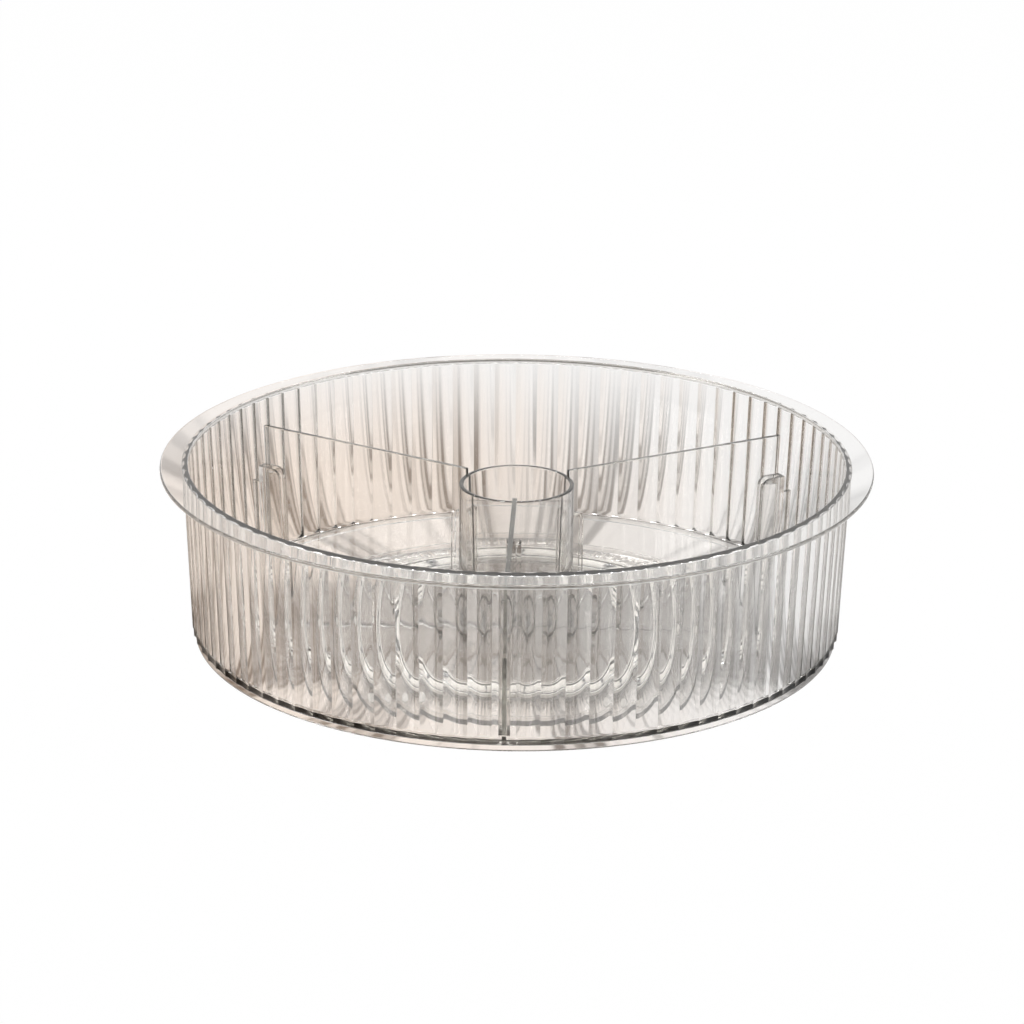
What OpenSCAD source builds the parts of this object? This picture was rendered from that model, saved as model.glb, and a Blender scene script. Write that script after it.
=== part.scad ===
// Round rotating organiser. A clear fluted tray with a flanged rim, a centre cup
// and three lift-out dividers turns on a caged ball race above a low base.
// Millimetres, +Z up. The origin is on the table under the middle of the base.

/* [Tray] */
// Radius of the mouth, inside the flange
mouth_r = 138.2; // [128:0.1:155]
// Height of the tray, from its foot ring to its mouth
tray_h = 76.3; // [70:0.1:100]
// Draft angle of the wall
wall_draft = 2.3; // [0.5:0.1:3]
// Thickness of the wall at its ridges
wall_t = 2.2; // [1.9:0.1:3]
// Thickness of the floor
floor_t = 2.2; // [1.9:0.1:3.5]
// Radius of the fillet where the floor meets the wall
floor_fillet = 2; // [1:0.5:4]

/* [Flange] */
// Width of the flange
flange_w = 11.8; // [6:0.1:16]
// Thickness of the flange
flange_t = 2; // [1.6:0.1:3]
// Drop of the flange from the mouth to its outer edge
flange_fall = 1.3; // [0:0.1:3]

/* [Flutes] */
// Number of hollow flutes round the wall
flute_count = 90; // [60:1:110]
// Depth of a flute
flute_depth = 1; // [0.4:0.1:1.2]
// Width of the flat land between two flutes, at the bottom
flute_land = 0.3; // [0.2:0.1:1]
// Height of the plain foot ring below the flutes
plain_h = 3.4; // [2.5:0.1:12]
// Inset of the foot ring from the bottom of the flutes
skirt_inset = 0.1; // [0.1:0.1:0.8]
// Thickness of the foot ring
skirt_t = 2; // [1.5:0.1:3]
// Drop of the foot ring below the floor
skirt_drop = 2.3; // [1:0.1:3]

/* [Cup and dividers] */
// Outer radius of the centre cup
cup_r = 24.3; // [20:0.1:32]
// Thickness of the cup at its lip
cup_wall = 1.9; // [1.5:0.1:3]
// Draft angle inside the cup
cup_draft = 1.6; // [0:0.1:3]
// Height of the cup above the floor
cup_h = 60; // [52:0.5:65]
// Height of the dividers' top edges above the floor
divider_h = 62; // [52:0.5:65]
// Thickness of a divider
divider_t = 2; // [1.4:0.1:3]
// Clearance on each side of a divider in its channel
slot_play = 0.3; // [0.15:0.05:0.5]
// Clearance between a divider and the cup
cup_play = 0.5; // [0.3:0.1:1]
// Clearance between a divider and the closed end of its channel
end_play = 0.5; // [0.3:0.1:1]
// Clearance under a divider
seat_play = 0.2; // [0.1:0.05:0.3]

/* [Channels] */
// Thickness of a channel rib
rib_t = 1.8; // [1.4:0.1:3]
// Height of the channel ribs above the floor
rib_h = 43.5; // [25:0.5:50]
// Reach of the ribs from the cup
cup_rib_reach = 6.5; // [5:0.1:12]
// Length of the channel near the wall
channel_l = 10.8; // [8:0.1:14]
// Distance from the channel to the wall
channel_gap = 5; // [3:0.1:7]
// Radius of the ribs' top corners
rib_round = 4; // [1:0.5:4.5]
// Height of the lead-in at the top of a channel
lead_h = 3; // [1:0.5:4]
// Width that the lead-in takes off each rib
lead_w = 0.8; // [0.2:0.1:1]
// Height of the web that ties the channel to the wall
web_h = 35.5; // [15:0.5:40]

/* [Ball race] */
// Diameter of a ball
ball_d = 6; // [5:0.1:7]
// Distance from the pitch line of the race to the edge of the base
race_inset = 26; // [18:0.5:40]
// Clearance between a ball and its race
ball_play = 0.1; // [0.05:0.01:0.2]
// Clearance between a ball and its pocket
pocket_play = 0.15; // [0.1:0.05:0.4]
// Thickness of the cage
cage_t = 1.2; // [0.8:0.1:1.8]
// Clearance above and below the cage
cage_play = 0.4; // [0.3:0.1:0.6]
// Material beside a ball in the cage and the races
race_side = 1.9; // [1.2:0.1:2.5]
// Material behind the deepest line of a race
race_back = 1.2; // [1:0.1:2]

/* [Base] */
// Outer radius of the base
base_r = 104; // [100:0.5:115]
// Thickness of the base
base_t = 1.8; // [1.5:0.1:2]
// Thickness of the upstanding edge of the base
edge_t = 1.6; // [1.2:0.1:3]
// Height of the upstanding edge above the base
edge_h = 1.8; // [1:0.1:2.5]
// Thickness of a stiffening rib
base_rib_t = 1.6; // [1.2:0.1:3]
// Height of a stiffening rib above the base
base_rib_h = 1.2; // [0.6:0.1:1.4]
// Radius of a foot
foot_r = 5; // [3:0.1:5.5]
// Height of a foot
foot_h = 2.2; // [1.8:0.1:3]
// Depth of a foot's pocket
pocket_depth = 1; // [0.6:0.1:1]
// Clearance round a foot in its pocket
foot_play = 0.1; // [0.05:0.05:0.3]

/* [Pivot] */
// Radius of the tray's pivot boss
boss_r = 5; // [4:0.1:7]
// Clearance round the boss in the hub
bore_play = 0.08; // [0.03:0.01:0.1]
// Thickness of the hub
hub_t = 1.8; // [1.4:0.1:2]
// Width of the hub outside the washer's recess
hub_side = 2.5; // [1.5:0.1:4]
// Clearance above the washer
washer_play = 0.1; // [0.05:0.05:0.2]
// Outer radius of the washer
washer_r = 9; // [8.5:0.1:12]
// Thickness of the washer
washer_t = 0.8; // [0.5:0.1:1]
// Clearance round the washer in its recess
recess_play = 1; // [0.5:0.1:2]
// Radius of the screw's shank
screw_r = 1.5; // [1.2:0.1:2]
// Length of the screw's shank
screw_l = 5; // [4:0.1:5.2]
// Radius of the screw's head
head_r = 4; // [3:0.1:6]
// Height of the screw's head
head_h = 1.8; // [1.2:0.1:1.9]

/* [Hidden] */
divider_names = ["front", "right", "left"];
divider_angles = [-90, 30, 150];
ball_count = 12;
foot_count = 6;
base_rib_count = 6;

// Small overlap that fuses one feature of a moulding into the next
fuse = 0.5;
// Height that a cutter passes beyond the face it leaves by
past = 1;
// Clearance between the screw and the holes that it passes through
screw_play = 0.05;
// Gap between the tray's shoulder and the hub
shoulder_gap = 0.3;

// Heights, from the table up
base_under = foot_h - pocket_depth;
base_top = base_under + base_t;
ball_z = base_under + race_back + ball_play + ball_d / 2;
groove_r = ball_d / 2 + ball_play;
race_gap = cage_t / 2 + cage_play;
floor_top = ball_z + groove_r + race_back;
floor_under = floor_top - floor_t;
tray_z = floor_under - skirt_drop;
flute_z = tray_z + plain_h;
mouth_z = tray_z + tray_h;
cup_top = floor_top + cup_h;
divider_top = floor_top + divider_h;
rib_top = floor_top + rib_h;
web_top = floor_top + web_h;
washer_top = base_under + 0.2 + head_h + washer_t;
hub_under = washer_top + washer_play;
hub_top = hub_under + hub_t;

// Radii
rim_r = mouth_r + flange_w;
race_r = base_r - race_inset;
race_half = ball_d / 2 + pocket_play + race_side;
foot_ring_r = (race_r + race_half + base_r - edge_t) / 2;
recess_r = washer_r + recess_play;
hub_r = recess_r + hub_side;
shoulder_r = boss_r + 3.5;
slot_w = divider_t + 2 * slot_play;
wall_root = (wall_t - flute_depth) / 2;

// Inner radius of the wall, and the radius of its ridges, at a height
function wall_in(z) = mouth_r - (mouth_z - z) * tan(wall_draft);
function ridge(z) = wall_in(z) + wall_t;

// Where a line from a point touches the upper (side = 1) or lower (side = -1)
// part of a circle
function tangent_point(from, centre, r, side) =
    let (to = centre - from, turn = atan2(to.y, to.x) + side * asin(r / norm(to)))
    centre + side * r * [-sin(turn), cos(turn)];

// Radius of an arc of the given half chord and rise
function arc_radius(half_chord, rise) = (half_chord ^ 2 + rise ^ 2) / (2 * rise);

// Half the chord and the arc of a flute at the bottom of the wall
flute_half = PI * ridge(flute_z) / flute_count - flute_land / 2;
flute_r = arc_radius(flute_half, flute_depth - flute_half ^ 2 / (2 * ridge(flute_z)));
flute_axis_r = ridge(flute_z) - flute_depth + flute_r;
flute_arc = asin(flute_half / flute_r);
flute_steps = 6;

// Turns a point about the origin
function turned(p, angle) =
    [p.x * cos(angle) - p.y * sin(angle), p.x * sin(angle) + p.y * cos(angle)];

// Outline of the wall at the bottom of the flutes, a row of hollow arcs
function flute_outline() = [
    for (i = [0:flute_count - 1], k = [-flute_steps / 2:flute_steps / 2])
        let (along = flute_arc * 2 * k / flute_steps)
        turned([flute_axis_r - flute_r * cos(along), flute_r * sin(along)], i * 360 / flute_count)
];

$fn = 64;
round_fn = 180;

clear_color = [0.80, 0.78, 0.75, 0.45];
cage_color = [0.90, 0.90, 0.88];
steel_color = [0.70, 0.71, 0.73];
rubber_color = [0.75, 0.75, 0.74];

// Copies the children round the Z axis
module around(count) {
    for (i = [0:count - 1]) rotate([0, 0, i * 360 / count]) children();
}

// Stands a drawing of radius and height upright at an angle, with a thickness
module upright(angle, thickness, offset = 0) {
    rotate([0, 0, angle]) translate([0, offset + thickness / 2, 0]) rotate([90, 0, 0])
        linear_extrude(thickness) children();
}

// Fluted block that grows upwards with the draft, up to the middle of the flange
module fluted_block() {
    top = mouth_z - flange_t / 2;
    translate([0, 0, flute_z])
        linear_extrude(top - flute_z, scale = ridge(top) / ridge(flute_z))
            polygon(flute_outline());
}

// Inside of the tray, round where the floor meets the wall
module inside_profile() {
    corner = [wall_in(floor_top + floor_fillet) - floor_fillet / cos(wall_draft), floor_top + floor_fillet];
    polygon([
        [0, floor_top],
        [corner.x, floor_top],
        corner + floor_fillet * [cos(wall_draft), -sin(wall_draft)],
        [wall_in(mouth_z + past), mouth_z + past],
        [0, mouth_z + past],
    ]);
    translate(corner) circle(floor_fillet);
}

// Everything below the flutes: the foot ring and what it carries of the floor
module foot_profile() {
    skirt_r = ridge(flute_z) - flute_depth - skirt_inset;
    polygon([
        [0, floor_under],
        [skirt_r - skirt_t, floor_under],
        [skirt_r - skirt_t, tray_z],
        [skirt_r - plain_h * tan(wall_draft), tray_z],
        [skirt_r, flute_z],
        [0, flute_z],
    ]);
}

// Flange that falls a little to a round outer edge
module flange_profile() {
    edge = flange_t / 2;
    centre = [rim_r - edge, mouth_z - flange_fall - edge];
    top = [mouth_r, mouth_z];
    under = [wall_in(mouth_z - flange_t), mouth_z - flange_t];
    polygon([under, tangent_point(under, centre, edge, -1), centre,
             tangent_point(top, centre, edge, 1), top]);
    translate(centre) circle(edge);
}

// One channel rib beside the cup: a plate with one rounded top corner, which
// reaches from the origin along X
module cup_rib_profile(reach, height) {
    square([reach, height - rib_round]);
    square([reach - rib_round, height]);
    translate([reach - rib_round, height - rib_round]) circle(rib_round);
}

// Side of the channel near the wall, which leans with the wall
module wall_channel_profile() {
    inset = channel_gap + channel_l;
    under = floor_top - fuse;
    corner = [wall_in(rib_top - rib_round) - inset + rib_round / cos(wall_draft), rib_top - rib_round];
    polygon([
        [wall_in(under) - inset, under],
        corner + rib_round * [-cos(wall_draft), sin(wall_draft)],
        corner,
        [corner.x, rib_top],
        [wall_in(rib_top) - channel_gap, rib_top],
        [wall_in(under) - channel_gap, under],
    ]);
    translate(corner) circle(rib_round);
}

// Drawing of an upright band between two distances from the wall
module leaning_band(inner, outer, bottom, top) {
    polygon([
        [wall_in(bottom) - inner, bottom],
        [wall_in(bottom) - outer, bottom],
        [wall_in(top) - outer, top],
        [wall_in(top) - inner, top],
    ]);
}

// Wedge that opens the top of both channels of one divider
module lead_in(angle) {
    rotate([0, 0, angle]) translate([cup_r, 0, rib_top]) rotate([90, 0, 90])
        linear_extrude(wall_in(rib_top) - channel_gap - 2 * rib_t - cup_r) polygon([
            [-slot_w / 2, -lead_h],
            [slot_w / 2, -lead_h],
            [slot_w / 2 + lead_w, 0],
            [slot_w / 2 + lead_w, past],
            [-slot_w / 2 - lead_w, past],
            [-slot_w / 2 - lead_w, 0],
        ]);
}

// The channels of the dividers: two ribs on the cup, and a slotted post near the
// wall, closed at its outer end, which a lower web ties to the wall
module channels() {
    for (angle = divider_angles) {
        difference() {
            union() {
                upright(angle, slot_w + 2 * rib_t) translate([cup_r - fuse, floor_top - fuse])
                    cup_rib_profile(cup_rib_reach + fuse, rib_h + fuse);
                upright(angle, slot_w + 2 * rib_t) wall_channel_profile();
            }
            upright(angle, slot_w) translate([cup_r, floor_top - past])
                square([cup_rib_reach + past, rib_h + 2 * past]);
            upright(angle, slot_w) leaning_band(
                channel_gap + channel_l + past, channel_gap + rib_t, floor_top - past, rib_top + past);
            lead_in(angle);
        }
        upright(angle, rib_t) leaning_band(channel_gap + rib_t / 2, -wall_root, floor_top - fuse, web_top);
    }
}

module cup() {
    lip_in = cup_r - cup_wall;
    foot_in = lip_in - cup_h * tan(cup_draft);
    rotate_extrude($fn = 96) polygon([
        [foot_in, floor_top - fuse],
        [cup_r, floor_top - fuse],
        [cup_r, cup_top],
        [lip_in, cup_top],
        [foot_in, floor_top],
    ]);
}

// Groove that a ball of the race runs in
module race_groove() {
    rotate_extrude($fn = round_fn) translate([race_r, ball_z]) circle(groove_r);
}

// Upper race and pivot boss, under the floor
module tray_underside() {
    rotate_extrude($fn = round_fn) translate([race_r - race_half, ball_z + race_gap])
        square([2 * race_half, floor_under + fuse - ball_z - race_gap]);
    translate([0, 0, hub_top + shoulder_gap])
        cylinder(r = shoulder_r, h = floor_under + fuse - hub_top - shoulder_gap);
    translate([0, 0, washer_top]) cylinder(r = boss_r, h = floor_under + fuse - washer_top);
}

module tray() {
    color(clear_color) difference() {
        union() {
            difference() {
                union() {
                    fluted_block();
                    rotate_extrude($fn = round_fn) foot_profile();
                }
                rotate_extrude($fn = round_fn) inside_profile();
            }
            rotate_extrude($fn = round_fn) flange_profile();
            cup();
            channels();
            tray_underside();
        }
        race_groove();
        translate([0, 0, washer_top - past]) cylinder(
            r = screw_r + screw_play, h = past + screw_l - washer_t + 2 * screw_play);
    }
}

// One plate, which stands in its channels. Its outer edge leans with the wall
module divider(angle) {
    bottom = floor_top + seat_play;
    outer_gap = channel_gap + rib_t + end_play;
    color(clear_color) upright(angle, divider_t) polygon([
        [cup_r + cup_play, bottom],
        [wall_in(bottom) - outer_gap, bottom],
        [wall_in(divider_top) - outer_gap, divider_top],
        [cup_r + cup_play, divider_top],
    ]);
}

// Plate with an upstanding edge, lower race, hub and stiffening ribs
module base() {
    color(clear_color) difference() {
        union() {
            translate([0, 0, base_under]) cylinder(r = base_r, h = base_t, $fn = round_fn);
            rotate_extrude($fn = round_fn) translate([base_r - edge_t, base_top - fuse])
                square([edge_t, edge_h + fuse]);
            rotate_extrude($fn = round_fn) translate([race_r - race_half, base_top - fuse])
                square([2 * race_half, ball_z - race_gap - base_top + fuse]);
            translate([0, 0, base_under]) cylinder(r = hub_r, h = hub_top - base_under);
            around(base_rib_count) translate([hub_r - fuse, -base_rib_t / 2, base_top - fuse])
                cube([race_r - race_half - hub_r + 2 * fuse, base_rib_t, base_rib_h + fuse]);
        }
        race_groove();
        translate([0, 0, base_under - past]) {
            cylinder(r = boss_r + bore_play, h = hub_top - base_under + 2 * past);
            cylinder(r = recess_r, h = hub_under - base_under + past);
        }
        around(foot_count) translate([foot_ring_r, 0, base_under - past])
            cylinder(r = foot_r + foot_play, h = pocket_depth + past);
    }
}

// Flat ring with a pocket for each ball
module ball_cage() {
    color(cage_color) difference() {
        rotate_extrude($fn = round_fn) translate([race_r - race_half, ball_z - cage_t / 2])
            square([2 * race_half, cage_t]);
        around(ball_count) translate([race_r, 0, ball_z - cage_t / 2 - past])
            cylinder(r = ball_d / 2 + pocket_play, h = cage_t + 2 * past);
    }
}

module ball(i) {
    color(steel_color) rotate([0, 0, i * 360 / ball_count]) translate([race_r, 0, ball_z])
        sphere(d = ball_d);
}

module foot(i) {
    color(rubber_color) rotate([0, 0, i * 360 / foot_count]) translate([foot_ring_r, 0, 0])
        cylinder(r = foot_r, h = foot_h);
}

module pivot_washer() {
    color(steel_color) translate([0, 0, washer_top - washer_t]) difference() {
        cylinder(r = washer_r, h = washer_t);
        translate([0, 0, -past]) cylinder(r = screw_r + screw_play, h = washer_t + 2 * past);
    }
}

module pivot_screw() {
    slot_l = head_r;
    slot_t = 0.9;
    head_top = washer_top - washer_t;
    color(steel_color) difference() {
        union() {
            translate([0, 0, head_top - head_h]) cylinder(r = head_r, h = head_h);
            translate([0, 0, head_top - fuse]) cylinder(r = screw_r, h = screw_l + fuse);
        }
        for (turn = [0, 90]) rotate([0, 0, turn]) translate([-slot_l / 2, -slot_t / 2, head_top - head_h - past])
            cube([slot_l, slot_t, past + head_h / 2]);
    }
}

tray();
for (i = [0:len(divider_names) - 1])
    divider(divider_angles[i]);
base();
ball_cage();
for (i = [1:ball_count]) ball(i);
for (i = [1:foot_count]) foot(i);
pivot_washer();
pivot_screw();
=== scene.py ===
import math
from contextlib import contextmanager
import bmesh
import bpy
from mathutils import Matrix, Vector


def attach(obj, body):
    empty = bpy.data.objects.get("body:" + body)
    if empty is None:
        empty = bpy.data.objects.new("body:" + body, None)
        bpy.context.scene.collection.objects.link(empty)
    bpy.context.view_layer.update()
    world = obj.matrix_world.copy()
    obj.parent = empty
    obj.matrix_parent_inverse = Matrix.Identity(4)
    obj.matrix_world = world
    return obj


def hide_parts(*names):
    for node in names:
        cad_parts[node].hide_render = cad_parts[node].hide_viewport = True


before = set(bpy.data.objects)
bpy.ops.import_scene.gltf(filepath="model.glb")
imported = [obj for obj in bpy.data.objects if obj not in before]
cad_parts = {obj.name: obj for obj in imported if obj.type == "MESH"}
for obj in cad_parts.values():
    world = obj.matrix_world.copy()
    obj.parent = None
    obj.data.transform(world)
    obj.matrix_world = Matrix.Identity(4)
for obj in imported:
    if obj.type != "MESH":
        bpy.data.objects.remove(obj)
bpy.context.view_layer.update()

# ---- Tray shell --------------------------------------------------------------------
# The tray is one injection moulding in clear styrene. The flange, the centre cup, the
# upper ball race and the pivot boss are all turned about one axis, and the outside of
# the wall is cut into hollow flutes with a sharp ridge between each two.

MM = 0.001
FLOOR_TOP, FLOOR_UNDER = 9.8 * MM, 7.6 * MM
FOOT_Z, FLUTE_Z, MOUTH_Z = 5.3 * MM, 8.7 * MM, 81.6 * MM
MOUTH_R, RIM_R = 138.2 * MM, 150 * MM
LEAN = math.tan(math.radians(2.3))
WALL = 2.2 * MM
FLUTES, FLUTE_DEPTH, RIDGE_LAND = 90, 1.0 * MM, 0.3 * MM
STEPS_A_FLUTE = 8
LIP_Z, RIM_Z, UNDER_Z = 80.22 * MM, 78.3 * MM, 79.34 * MM
CUP_R, CUP_LIP, CUP_FOOT, CUP_TOP = 24.3 * MM, 22.4 * MM, 20.72 * MM, 69.8 * MM
SHOULDER_R, SHOULDER_Z = 8.5 * MM, 6.2 * MM
BOSS_R, BOSS_Z, PILOT_R, PILOT_TOP = 5 * MM, 4 * MM, 1.55 * MM, 8.3 * MM
RACE_R, BALL_Z, GROOVE_R = 78 * MM, 5.5 * MM, 3.1 * MM
GREY_DENSITY = 1000.0  # a plastic's grey is what passes through each 1 mm of it


class Wire:
    """An output of a node, which takes the arithmetic written on it into Math nodes."""

    def __init__(self, tree, socket):
        self.tree, self.socket = tree, socket

    def math(self, operation, *values):
        return node(self.tree, "ShaderNodeMath", {"operation": operation}, values)

    def out(self, name):
        return Wire(self.tree, self.socket.node.outputs[name])

    def __add__(self, other): return self.math("ADD", self, other)
    def __radd__(self, other): return self.math("ADD", other, self)
    def __sub__(self, other): return self.math("SUBTRACT", self, other)
    def __rsub__(self, other): return self.math("SUBTRACT", other, self)
    def __mul__(self, other): return self.math("MULTIPLY", self, other)
    def __rmul__(self, other): return self.math("MULTIPLY", other, self)
    def __truediv__(self, other): return self.math("DIVIDE", self, other)
    def __rtruediv__(self, other): return self.math("DIVIDE", other, self)
    def __mod__(self, other): return self.math("MODULO", self, other)
    def floor(self): return self.math("FLOOR", self)
    def cos(self): return self.math("COSINE", self)
    def sin(self): return self.math("SINE", self)

    def between(self, low, high):
        """0 below low, 1 above high, and a smooth step from one to the other."""
        return node(self.tree, "ShaderNodeMapRange", {"interpolation_type": "SMOOTHSTEP"},
                    {"Value": self, "From Min": low, "From Max": high})


def node(tree, kind, settings=None, values=()):
    """Adds a node, sets it up, feeds its sockets and gives back its first output."""
    made = tree.nodes.new(kind)
    for name, value in (settings or {}).items():
        setattr(made, name, value)
    for key, value in values.items() if isinstance(values, dict) else enumerate(values):
        if isinstance(value, Wire):
            tree.links.new(value.socket, made.inputs[key])
        else:
            made.inputs[key].default_value = value
    return Wire(tree, made.outputs[0])


def geometry_tree(name, sizes):
    """A Geometry Nodes tree with named inputs, and its Group Input as a Wire."""
    tree = bpy.data.node_groups.new(name, "GeometryNodeTree")
    face = tree.interface
    face.new_socket("Geometry", in_out="INPUT", socket_type="NodeSocketGeometry")
    for label, kind in sizes:
        face.new_socket(label, in_out="INPUT", socket_type="NodeSocket" + kind)
    face.new_socket("Material", in_out="INPUT", socket_type="NodeSocketMaterial")
    face.new_socket("Geometry", in_out="OUTPUT", socket_type="NodeSocketGeometry")
    return tree, node(tree, "NodeGroupInput")


def close_tree(tree, given, shape):
    """Ends a tree in Realize Instances and Set Material."""
    shape = node(tree, "GeometryNodeRealizeInstances", None, [shape])
    shape = node(tree, "GeometryNodeSetMaterial", None,
                 {"Geometry": shape, "Material": given.out("Material")})
    tree.links.new(shape.socket, tree.nodes.new("NodeGroupOutput").inputs[0])
    return tree


def run_tree(piece, tree, **sizes):
    """Runs a tree on a piece with these sizes, and leaves a plain mesh behind."""
    step = piece.modifiers.new(tree.name, "NODES")
    step.node_group = tree
    for item in tree.interface.items_tree:
        key = item.name.replace(" ", "_").lower()
        if item.in_out == "INPUT" and key in sizes:
            step[item.identifier] = sizes[key]
    return plain_mesh(piece)


def plain_mesh(piece):
    """Turns a piece's modifiers into its mesh."""
    now = bpy.context.evaluated_depsgraph_get()
    shape = bpy.data.meshes.new_from_object(piece.evaluated_get(now))
    piece.modifiers.clear()
    piece.data = shape
    return piece


def new_piece(name, points, edges=(), faces=()):
    """A piece at the origin with a plain mesh."""
    shape = bpy.data.meshes.new(name)
    shape.from_pydata([tuple(p) for p in points], list(edges), list(faces))
    piece = bpy.data.objects.new(name, shape)
    bpy.context.scene.collection.objects.link(piece)
    return piece


@contextmanager
def opened(piece, source=None):
    """Lends out a piece's mesh, or a source's, for bmesh work, and writes it to the piece."""
    cast = bmesh.new()
    cast.from_mesh((source or piece).data)
    yield cast
    cast.to_mesh(piece.data)
    cast.free()


def smooth(piece, angle=22):
    """Smooth faces with an edge wherever the surface turns by more than the angle. Large
    faces keep their own direction, so a flat plate bends no light where it is rounded."""
    shape = piece.data
    shape.polygons.foreach_set("use_smooth", [True] * len(shape.polygons))
    shape.set_sharp_from_angle(angle=math.radians(angle))
    step = piece.modifiers.new("weighted", "WEIGHTED_NORMAL")
    step.mode, step.weight, step.keep_sharp = "FACE_AREA", 100, True
    return plain_mesh(piece)


def rounded_line(corners):
    """Points along a line in (radius, height) whose corners, each with a radius, are
    rounded in steps of about 18 degrees. A third number of 0 keeps a corner sharp."""
    line = []
    for i, (x, z, r) in enumerate(corners):
        here = Vector((x, z))
        if r == 0 or i in (0, len(corners) - 1):
            line.append(here)
            continue
        back = (Vector(corners[i - 1][:2]) - here).normalized()
        ahead = (Vector(corners[i + 1][:2]) - here).normalized()
        half = back.angle(ahead) / 2
        centre = here + (back + ahead).normalized() * (r / math.sin(half))
        start, end = here + back * (r / math.tan(half)), here + ahead * (r / math.tan(half))
        turn = (start - centre).angle_signed(end - centre)
        steps = max(1, math.ceil(abs(turn) / math.radians(18.5)))
        for k in range(steps + 1):
            line.append(centre + Matrix.Rotation(-turn * k / steps, 2) @ (start - centre))
    return line


def wall_in(z):
    """Radius of the wall's inside at a height."""
    return MOUTH_R - (MOUTH_Z - z) * LEAN


def turned_moulding():
    """Turns a profile about Z and hollows its fluted points between ridges."""
    tree, given = geometry_tree("Turned moulding", [
        ("Flutes", "Int"), ("Steps a flute", "Int"), ("Hollow half angle", "Float"),
        ("Flute depth", "Float")])
    profile, flutes = given.out("Geometry"), given.out("Flutes")
    steps = given.out("Steps a flute")
    count = node(tree, "GeometryNodeAttributeDomainSize", {"component": "MESH"}, [profile])
    row = flutes * steps + 1
    grid = node(tree, "GeometryNodeMeshGrid", None, {"Vertices X": count, "Vertices Y": row})
    index = node(tree, "GeometryNodeInputIndex")
    along, round_ = (index / row).floor(), index % row
    place = node(tree, "GeometryNodeSampleIndex", {"data_type": "FLOAT_VECTOR"}, {
        "Geometry": profile, "Value": node(tree, "GeometryNodeInputPosition"), "Index": along})
    is_fluted = node(tree, "GeometryNodeInputNamedAttribute", {"data_type": "FLOAT"},
                     {"Name": "fluted"})
    cut = node(tree, "GeometryNodeSampleIndex", {"data_type": "FLOAT"}, {
        "Geometry": profile, "Value": is_fluted, "Index": along})
    across = (round_ % steps) * 2 / (steps - 1) - 1
    pitch = math.tau / flutes
    angle = ((round_ / steps).floor() + 0.5) * pitch + across * given.out("Hollow half angle")
    split = node(tree, "ShaderNodeSeparateXYZ", None, [place])
    radius = split - given.out("Flute depth") * cut * (1 - across * across)
    spot = node(tree, "ShaderNodeCombineXYZ", None,
                [radius * angle.cos(), radius * angle.sin(), split.out("Z")])
    shape = node(tree, "GeometryNodeSetPosition", None, {"Geometry": grid, "Position": spot})
    shape = node(tree, "GeometryNodeMergeByDistance", None, {"Geometry": shape, "Distance": 2e-6})
    return close_tree(tree, given, shape)


def turned(name, line, fluted, flutes, steps, hollow, depth, material):
    """A moulding turned from a line of (radius, height) points."""
    piece = new_piece(name, [(p.x, 0, p.y) for p in line],
                      [(i, i + 1) for i in range(len(line) - 1)])
    mark = piece.data.attributes.new("fluted", "FLOAT", "POINT")
    mark.data.foreach_set("value", fluted)
    return run_tree(piece, turning, flutes=flutes, steps_a_flute=steps,
                    hollow_half_angle=hollow, flute_depth=depth, material=material)


def clear_plastic(name, grey, haze):
    """Clear moulded plastic: a faint grey cast that grows with its depth, a slow flow
    wave from the tool, and handling marks that show only in the gloss."""
    made = bpy.data.materials.new(name)
    made.use_nodes = True
    tree = made.node_tree
    tree.nodes.clear()
    place = node(tree, "ShaderNodeTexCoord").out("Object")
    flow = node(tree, "ShaderNodeTexNoise", None,
                {"Vector": place, "Scale": 26, "Detail": 1.5, "Distortion": 0.6})
    rubbed = node(tree, "ShaderNodeTexNoise", None,
                  {"Vector": place, "Scale": 140, "Detail": 5, "Roughness": 0.7})
    rough = haze + 0.05 * rubbed.between(0.52, 0.78)
    bump = node(tree, "ShaderNodeBump", None,
                {"Height": flow + 0.02 * rubbed, "Strength": 0.06, "Distance": 0.0003})
    face = node(tree, "ShaderNodeBsdfPrincipled", None, {
        "Base Color": (0.99, 0.985, 0.98, 1), "Roughness": rough, "IOR": 1.52,
        "Transmission Weight": 1.0, "Normal": bump})
    lamp_ray = node(tree, "ShaderNodeLightPath").out("Is Shadow Ray")
    let_through = node(tree, "ShaderNodeBsdfTransparent", None, [(0.95, 0.94, 0.93, 1)])
    surface = node(tree, "ShaderNodeMixShader", None, [lamp_ray, face, let_through])
    depth = node(tree, "ShaderNodeVolumeAbsorption", None, {
        "Color": grey, "Density": GREY_DENSITY})
    end = tree.nodes.new("ShaderNodeOutputMaterial")
    tree.links.new(surface.socket, end.inputs["Surface"])
    tree.links.new(depth.socket, end.inputs["Volume"])
    return made


turning = turned_moulding()
tray_plastic = clear_plastic("clear_tray_plastic", (0.976, 0.975, 0.973, 1), 0.012)

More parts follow.
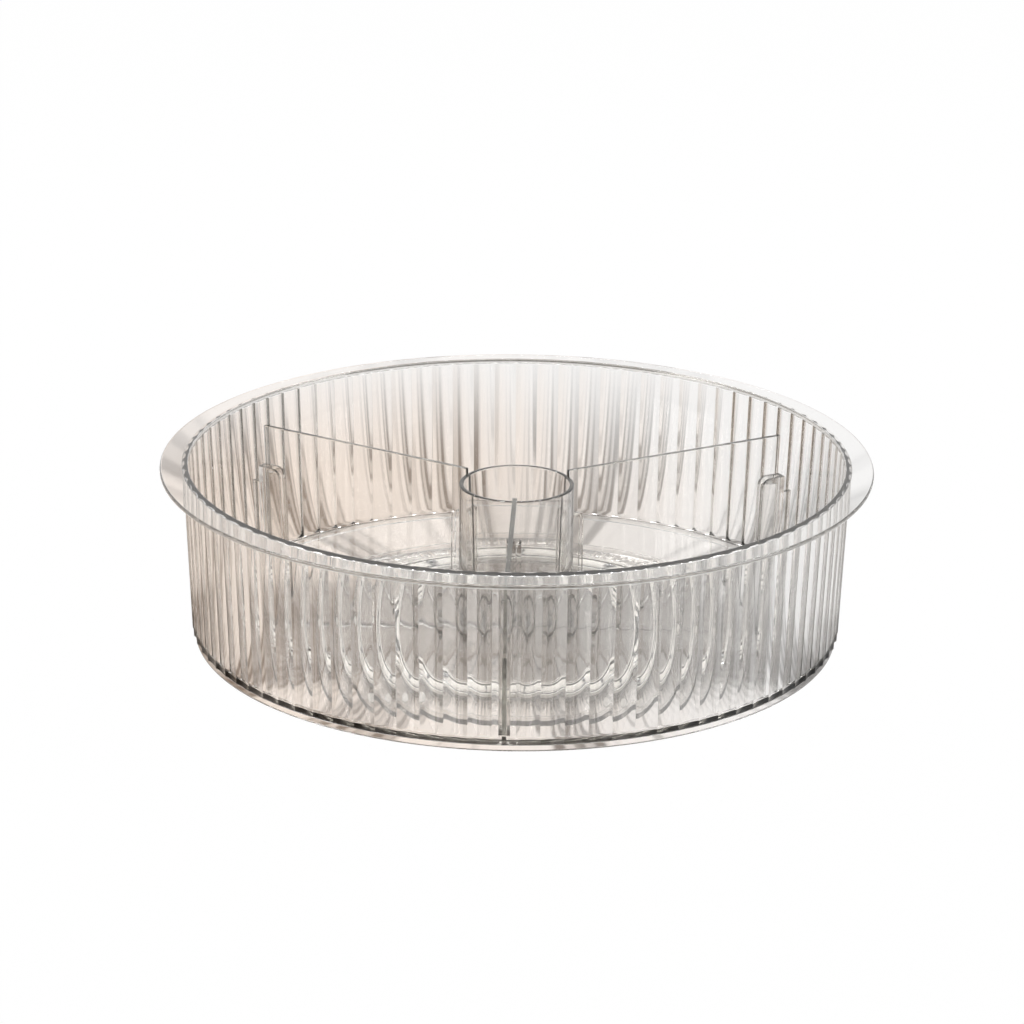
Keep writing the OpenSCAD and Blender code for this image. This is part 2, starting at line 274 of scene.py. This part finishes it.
lip = (RIM_R, LIP_Z)
under_flange = (wall_in(UNDER_Z) + WALL, UNDER_Z)
groove_half = math.sqrt(GROOVE_R ** 2 - MM ** 2)
groove_start = math.atan2(MM, groove_half)
groove = [(RACE_R + GROOVE_R * math.cos(a), BALL_Z + GROOVE_R * math.sin(a), 0) for a in
          [groove_start + (math.pi - 2 * groove_start) * k / 8 for k in range(9)]]
race_in, race_out, race_z = 72.95 * MM, 83.05 * MM, 6.5 * MM
foot_ring = wall_in(FLUTE_Z) + WALL - FLUTE_DEPTH - 0.1 * MM
tray_line = rounded_line([
    (0, FLOOR_TOP, 0), (CUP_FOOT, FLOOR_TOP, 0.8 * MM), (CUP_LIP, CUP_TOP, 0.6 * MM),
    (CUP_R, CUP_TOP, 0.6 * MM), (CUP_R, FLOOR_TOP, 0.8 * MM),
    (wall_in(FLOOR_TOP), FLOOR_TOP, 2 * MM), (MOUTH_R, MOUTH_Z, 0.5 * MM),
    (*lip, 0.9 * MM), (RIM_R, RIM_Z, 0.9 * MM), (*under_flange, 0.4 * MM),
    (wall_in(FLUTE_Z) + WALL, FLUTE_Z, 0.2 * MM), (foot_ring, FLUTE_Z, 0),
    (foot_ring - 3.4 * MM * LEAN, FOOT_Z, 0.4 * MM), (foot_ring - 2 * MM, FOOT_Z, 0.4 * MM),
    (foot_ring - 2 * MM, FLOOR_UNDER, 0.3 * MM), (race_out, FLOOR_UNDER, 0),
    (race_out, race_z, 0), *groove, (race_in, race_z, 0), (race_in, FLOOR_UNDER, 0),
    (SHOULDER_R, FLOOR_UNDER, 0), (SHOULDER_R, SHOULDER_Z, 0), (BOSS_R, SHOULDER_Z, 0),
    (BOSS_R, BOSS_Z, 0), (PILOT_R, BOSS_Z, 0), (PILOT_R, PILOT_TOP, 0), (0, PILOT_TOP, 0)])
# Only the points on the outside of the wall are hollowed, from its foot to the flange.
on_wall = [1.0 if p.x > foot_ring + 0.05 * MM and FLUTE_Z - 1e-7 <= p.y < 79.3 * MM
           and p.x < under_flange[0] + 0.05 * MM and p.x > wall_in(p.y) + 0.6 * WALL else 0.0
           for p in tray_line]
hollow_half = math.pi / FLUTES - RIDGE_LAND / 2 / (wall_in(FLUTE_Z) + WALL)
tray = turned("tray_shell", tray_line, on_wall, FLUTES, STEPS_A_FLUTE, hollow_half,
              FLUTE_DEPTH, tray_plastic)

# ---- Channels ----------------------------------------------------------------------
# Each divider's slot runs between two thin ribs on the cup and into a slotted post near
# the wall, which a lower web ties to the wall. All are moulded in one with the tray, so
# they are joined to the shell here, with a lead-in at the top and softened corners.

RIB, SLOT, RIB_TOP, WEB_TOP = 1.8 * MM, 2.6 * MM, 53.3 * MM, 45.3 * MM
POST_GAP, POST_L, CUP_REACH = 5 * MM, 10.8 * MM, 6.5 * MM
LEAD_H, LEAD_W = 3 * MM, 0.8 * MM
FUSE, RIB_ROUND, SOFT_EDGE = 0.5 * MM, 4 * MM, 0.25 * MM


def plate(name, outline, thickness):
    """An upright plate on the X axis from a closed line of (x, z) points."""
    half = thickness / 2
    points = [(p[0], s * half, p[1]) for s in (-1, 1) for p in outline]
    n = len(outline)
    sides = [(i, (i + 1) % n, n + (i + 1) % n, n + i) for i in range(n)]
    ends = [tuple(range(n)), tuple(range(2 * n - 1, n - 1, -1))]
    piece = new_piece(name, points, [], [*ends, *sides])
    with opened(piece) as cast:
        bmesh.ops.recalc_face_normals(cast, faces=cast.faces)
    return piece


def soften(piece, edge):
    """Rounds every sharp edge of a piece."""
    with opened(piece) as cast:
        bmesh.ops.dissolve_limit(cast, angle_limit=math.radians(0.5), verts=cast.verts,
                                 edges=cast.edges)
        rims = [e for e in cast.edges if e.calc_face_angle(0) > math.radians(30)]
        bmesh.ops.bevel(cast, geom=rims, offset=edge, segments=3, profile=0.5,
                        affect="EDGES", clamp_overlap=True)
    return piece


def ring_of_copies():
    """Copies of a piece, turned about Z at equal steps."""
    tree, given = geometry_tree("Ring of copies", [("Count", "Int"), ("Start angle", "Float")])
    points = node(tree, "GeometryNodePoints", None, {"Count": given.out("Count")})
    index = node(tree, "GeometryNodeInputIndex")
    turn = given.out("Start angle") + index * math.tau / given.out("Count")
    around = node(tree, "ShaderNodeCombineXYZ", None, {"Z": turn})
    copies = node(tree, "GeometryNodeInstanceOnPoints", None, {
        "Points": points, "Instance": given.out("Geometry"), "Rotation": around})
    return close_tree(tree, given, copies)


def combine(piece, tool, operation):
    """Joins a tool to a piece or cuts it out, and uses the tool up."""
    step = piece.modifiers.new("combine", "BOOLEAN")
    step.operation, step.object, step.solver = operation, tool, "MANIFOLD"
    plain_mesh(piece)
    bpy.data.objects.remove(tool)
    return piece


def lean(inset, z):
    """A point on the slope of the wall, at a distance in from it and at a height."""
    return (wall_in(z) - inset, z)


copying = ring_of_copies()
foot_z, over = FLOOR_TOP - FUSE, RIB_TOP + MM
cup_rib = rounded_line([
    (CUP_R - FUSE, foot_z, 0), (CUP_R + CUP_REACH, foot_z, 0),
    (CUP_R + CUP_REACH, RIB_TOP, RIB_ROUND), (CUP_R - FUSE, RIB_TOP, 0)])
post = rounded_line([
    (*lean(POST_GAP, foot_z), 0), (*lean(POST_GAP, RIB_TOP), 0),
    (*lean(POST_GAP + POST_L, RIB_TOP), RIB_ROUND), (*lean(POST_GAP + POST_L, foot_z), 0)])
slot = [lean(POST_GAP + RIB, foot_z - MM), lean(POST_GAP + RIB, over), (CUP_R, over),
        (CUP_R, foot_z - MM)]
web = [lean(-0.6 * MM, foot_z), lean(-0.6 * MM, WEB_TOP), lean(POST_GAP + RIB / 2, WEB_TOP),
       lean(POST_GAP + RIB / 2, foot_z)]
wide = SLOT / 2 + LEAD_W
mouth = [(-wide, over), (-wide, RIB_TOP), (-SLOT / 2, RIB_TOP - LEAD_H),
         (SLOT / 2, RIB_TOP - LEAD_H), (wide, RIB_TOP), (wide, over)]
mouth_end = wall_in(RIB_TOP) - POST_GAP - 2 * RIB
post_start = wall_in(FLOOR_TOP) - POST_GAP - POST_L - 2 * MM
for outline, start in ((cup_rib, CUP_R), (post, post_start)):
    blank = plate("channel", outline, SLOT + 2 * RIB)
    combine(blank, plate("slot", slot, SLOT), "DIFFERENCE")
    lead_in = plate("lead_in", mouth, mouth_end - start)
    lead_in.data.transform(Matrix.Translation(((mouth_end + start) / 2, 0, 0))
                           @ Matrix.Rotation(math.pi / 2, 4, "Z"))
    combine(blank, lead_in, "DIFFERENCE")
    channel = run_tree(soften(blank, SOFT_EDGE), copying, count=3,
                       start_angle=math.radians(-90), material=tray_plastic)
    combine(tray, channel, "UNION")
ties = run_tree(soften(plate("web", web, RIB), SOFT_EDGE), copying, count=3,
                start_angle=math.radians(-90), material=tray_plastic)
combine(tray, ties, "UNION")

# Where the channels join the shell, faces of no area are left, which are dissolved.
with opened(tray) as cast:
    bmesh.ops.dissolve_degenerate(cast, dist=0.002 * MM, edges=cast.edges)
smooth(tray)
tray.name = "moulded_tray"
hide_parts("tray")
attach(tray, "tray")

# ---- Dividers ----------------------------------------------------------------------
# Three flat plates of the same clear plastic drop into the channels and lift out by
# hand. Their edges are polished round, and the outer edge leans with the wall.

DIVIDER, DIVIDER_TOP, PLAY = 2 * MM, 71.8 * MM, 0.5 * MM
divider_plastic = clear_plastic("clear_divider_plastic", (0.991, 0.991, 0.990, 1), 0.012)
seat = FLOOR_TOP + 0.2 * MM
divider_line = rounded_line([
    (CUP_R + PLAY, DIVIDER_TOP, 0), (CUP_R + PLAY, seat, 0),
    (*lean(POST_GAP + RIB + PLAY, seat), 0), (*lean(POST_GAP + RIB + PLAY, DIVIDER_TOP), 0)])
for side, angle in (("front", -90), ("right", 30), ("left", 150)):
    divider = soften(plate(f"clear_divider_{side}", divider_line, DIVIDER), 0.35 * MM)
    divider.data.transform(Matrix.Rotation(math.radians(angle), 4, "Z"))
    divider.data.materials.append(divider_plastic)
    smooth(divider, 25)
    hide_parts(f"divider_{side}")
    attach(divider, f"divider_{side}")

# ---- Base --------------------------------------------------------------------------
# The base is a second clear moulding: a low plate with an upstanding edge, six short
# stiffening ribs, the lower ball race and the hub that the tray's boss turns in.

base_plastic = clear_plastic("clear_base_plastic", (0.946, 0.943, 0.939, 1), 0.05)
base = new_piece("moulded_base", [])
with opened(base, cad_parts["base"]) as cast:
    bmesh.ops.remove_doubles(cast, verts=cast.verts, dist=1e-6)
base.data.materials.append(base_plastic)
smooth(base, 30)
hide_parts("base")
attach(base, "base")

# ---- Ball race ---------------------------------------------------------------------
# Twelve hardened steel balls run in a flat cage of natural white plastic, punched with
# a round pocket for each. The cage turns at half the speed of the tray.

BALL_R = 2.95 * MM  # 0.05 mm under size, clear of the flat facets of the base's race


def blend(share, first, second):
    """A colour that goes from the first to the second as the share goes from 0 to 1."""
    mixed = node(share.tree, "ShaderNodeMix", {"data_type": "RGBA"},
                 {0: share, 6: first, 7: second})  # the colour sockets of this node
    mixed.socket = mixed.socket.node.outputs[2]
    return mixed


def finish_of(name, colour, metallic, roughness, grain, depth):
    """An opaque finish with a fine grain in its gloss and its surface."""
    made = bpy.data.materials.new(name)
    made.use_nodes = True
    tree = made.node_tree
    tree.nodes.clear()
    place = node(tree, "ShaderNodeTexCoord").out("Object")
    fine = node(tree, "ShaderNodeTexNoise", None,
                {"Vector": place, "Scale": grain, "Detail": 4, "Roughness": 0.6})
    broad = node(tree, "ShaderNodeTexNoise", None, {"Vector": place, "Scale": 60, "Detail": 2})
    darker = (*(0.9 * c for c in colour[:3]), 1)
    tint = blend(broad.between(0.35, 0.65), colour, darker)
    bump = node(tree, "ShaderNodeBump", None,
                {"Height": fine, "Strength": 0.3, "Distance": depth})
    face = node(tree, "ShaderNodeBsdfPrincipled", None, {
        "Base Color": tint, "Metallic": metallic,
        "Roughness": roughness + 0.12 * fine, "Normal": bump})
    end = tree.nodes.new("ShaderNodeOutputMaterial")
    tree.links.new(face.socket, end.inputs["Surface"])
    return made


cage_plastic = finish_of("natural_cage_plastic", (0.84, 0.83, 0.80, 1), 0.0, 0.42, 900, 0.00004)
ball_steel = finish_of("polished_ball_steel", (0.66, 0.67, 0.69, 1), 1.0, 0.08, 700, 0.000004)
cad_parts["ball_cage"].material_slots[0].material = cage_plastic
ball = new_piece("balls", [])
with opened(ball) as cast:
    bmesh.ops.create_uvsphere(cast, u_segments=32, v_segments=16, radius=BALL_R,
                              matrix=Matrix.Translation((RACE_R, 0, BALL_Z)))
balls = run_tree(ball, copying, count=12, start_angle=0.0, material=ball_steel)
balls.name = "race_balls"
smooth(balls, 60)
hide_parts(*[f"ball_{i}" for i in range(1, 13)])
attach(balls, "race")

# ---- Feet --------------------------------------------------------------------------
# Six soft round pads press into pockets under the base. Their lower edge is rounded,
# and they are moulded in a milky elastomer with a fine matt skin.

FEET_RING, PAD_R, PAD_H, PAD_SIDES = 92.725 * MM, 5 * MM, 2.2 * MM, 24
foot_rubber = finish_of("milky_foot_rubber", (0.72, 0.71, 0.69, 1), 0.0, 0.62, 1400, 0.00005)
foot_line = rounded_line([
    (0, PAD_H, 0), (PAD_R, PAD_H, 0.2 * MM), (PAD_R, 0, 0.6 * MM), (0, 0, 0)])
foot = turned("feet", foot_line, [0.0] * len(foot_line), PAD_SIDES, 2,
              math.tau / PAD_SIDES / 4, 0.0, foot_rubber)
foot.data.transform(Matrix.Translation((FEET_RING, 0, 0)))
feet = run_tree(foot, copying, count=6, start_angle=0.0, material=foot_rubber)
feet.name = "soft_feet"
smooth(feet, 30)
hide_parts(*[f"foot_{i}" for i in range(1, 7)])
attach(feet, "base")

# ---- Pivot -------------------------------------------------------------------------
# A zinc plated washer and a cross recess screw hold the tray's boss in the hub. They
# are seen only from below, and through the floor of the cup.

pivot_steel = finish_of("zinc_plated_steel", (0.60, 0.61, 0.63, 1), 1.0, 0.24, 500, 0.00002)
for part in ("pivot_washer", "pivot_screw"):
    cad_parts[part].material_slots[0].material = pivot_steel

# ---- Table and studio --------------------------------------------------------------
# A white table under a white horizon, a lamp at each side and a thin strip overhead.
# Rays off or through the object see a dimmer room, and a painted pattern of light and
# shade on the table. It stands for what surrounds a full tray, and isn't simulated.

PLAIN_SHARE = 0.985  # of the table that glows plainly; the rest takes light and shadow
POOL_CENTRE, POOL_FULL, POOL_END = (-0.06, 0.04, 0), 0.16, 0.42
SHADE_LEFT, SHADE_RIGHT = (0.20, 0.138, 0.096, 1), (0.15, 0.142, 0.136, 1)
LIT_LEFT, LIT_RIGHT = (0.96, 0.84, 0.745, 1), (0.97, 0.96, 0.955, 1)
UNDER_FULL, UNDER_END, UNDER_SHADE, OUTER_LIGHT = 0.045, 0.10, 0.75, 0.22

table = new_piece("table", [(-3, -3, 0), (3, -3, 0), (3, 3, 0), (-3, 3, 0)], [], [(0, 1, 2, 3)])
paper = bpy.data.materials.new("white_table")
paper.use_nodes = True
tree = paper.node_tree
tree.nodes.clear()
rays = node(tree, "ShaderNodeLightPath")
seen = rays.math("MAXIMUM", rays, rays.math(
    "MAXIMUM", rays.out("Is Glossy Ray"), rays.out("Is Transmission Ray")))
spot = node(tree, "ShaderNodeTexCoord").out("Object")


def span(centre):
    """Distance on the table from a centre."""
    length = node(tree, "ShaderNodeVectorMath", {"operation": "DISTANCE"}, {0: spot, 1: centre})
    return length.out("Value")


# Painted light and shade that only reflected and transmitted rays see: a pool round the tray,
# warmer on the left, with painted shade under the tray and painted streaks of light like those a
# fluted wall throws.
pool = (1 - span(POOL_CENTRE).between(POOL_FULL, POOL_END)) * (1 - rays)
sides = node(tree, "ShaderNodeSeparateXYZ", None, [spot])
rightward = sides.between(-0.10, 0.16)
shade = blend(rightward, SHADE_LEFT, SHADE_RIGHT)
lit = blend(rightward, LIT_LEFT, LIT_RIGHT)
compass = node(tree, "ShaderNodeVectorMath", {"operation": "NORMALIZE"}, [spot])
drift = node(tree, "ShaderNodeTexNoise", None,
             {"Vector": compass, "Scale": 3.5, "Detail": 3, "Roughness": 0.55})
angle = sides.math("ARCTAN2", sides.out("Y"), sides)
ray_lines = ((angle * FLUTES + 5 * drift).cos() * 0.5 + 0.5).between(0.15, 0.85)
ellipse = 0.2 * sides * sides + sides.out("Y") * sides.out("Y")
painted_shade_under = 1 - ellipse.between(UNDER_FULL ** 2, UNDER_END ** 2)
streaked = (0.3 * ray_lines + 0.7 * drift.between(0.43, 0.57)) * (1 - UNDER_SHADE * painted_shade_under)
streaked = (streaked + OUTER_LIGHT * (1 - painted_shade_under)).between(0, 1)
cast_light = blend(streaked, shade, lit)
painted_light_shade = blend(pool, (1, 1, 1, 1), cast_light)
glow = node(tree, "ShaderNodeEmission", None, [painted_light_shade, 1.0])
sheet = node(tree, "ShaderNodeBsdfDiffuse", None, [(0.9, 0.9, 0.9, 1)])
mixed = node(tree, "ShaderNodeMixShader", None, [PLAIN_SHARE * seen, sheet, glow])
tree.links.new(mixed.socket, tree.nodes.new("ShaderNodeOutputMaterial").inputs["Surface"])
table.data.materials.append(paper)
table.location.z = -0.2 * MM

# Light that runs along inside the clear walls gets out again only after many turns.
light_paths = bpy.context.scene.cycles
light_paths.max_bounces = light_paths.glossy_bounces = light_paths.transmission_bounces = 32

world = bpy.data.worlds.new("studio")
bpy.context.scene.world = world
world.use_nodes = True
tree = world.node_tree
tree.nodes.clear()
rays = node(tree, "ShaderNodeLightPath")
toward = node(tree, "ShaderNodeSeparateXYZ", None, [node(tree, "ShaderNodeTexCoord")])
behind = toward.out("Y").between(-0.1, 0.7)
room = (0.45 + 0.55 * behind) * (1 - 0.6 * toward.out("Z").between(0.6, 0.9))
level = rays.math("MAXIMUM", rays, room)
sky = node(tree, "ShaderNodeBackground", None, {"Color": (1, 1, 1, 1), "Strength": level})
tree.links.new(sky.socket, tree.nodes.new("ShaderNodeOutputWorld").inputs["Surface"])


def soft_box(name, place, width, height, power):
    """A soft lamp that faces the middle of the tray."""
    lamp = bpy.data.lights.new(name, "AREA")
    lamp.shape, lamp.size, lamp.size_y, lamp.energy = "RECTANGLE", width, height, power
    holder = bpy.data.objects.new(name, lamp)
    holder.location = place
    facing = Vector((0, 0, 0.05)) - Vector(place)
    holder.rotation_euler = facing.to_track_quat("-Z", "Y").to_euler()
    bpy.context.scene.collection.objects.link(holder)


soft_box("window_left", (-1.3, -0.5, 0.8), 0.7, 1.0, 9)
soft_box("fill_right", (1.4, -0.2, 0.7), 0.5, 0.9, 5)
soft_box("overhead_strip", (0, 0.8, 1.4), 2.4, 0.08, 14)

# ---- Camera ------------------------------------------------------------------------
# A long lens looks down on the tray from the front, from a little above the rim, so
# that the floor, the cup and all three dividers show over the near wall.

REACH, RISE, TURN, ROLL = 1.5809, math.radians(18.86), math.radians(1.7), 0.010
aim = Vector((0, 0, 0.0803))
back = Vector((math.sin(TURN) * math.cos(RISE), -math.cos(TURN) * math.cos(RISE),
               math.sin(RISE)))
lens = bpy.data.cameras.new("camera")
lens.lens, lens.sensor_width = 131.88, 36
lens.shift_x, lens.shift_y = -0.0048, -0.0513
camera = bpy.data.objects.new("camera", lens)
camera.matrix_world = (Matrix.Translation(aim + REACH * back)
                       @ (-back).to_track_quat("-Z", "Y").to_matrix().to_4x4()
                       @ Matrix.Rotation(ROLL, 4, "Z"))
bpy.context.scene.collection.objects.link(camera)
bpy.context.scene.camera = camera
bpy.context.scene.view_settings.view_transform = "Standard"
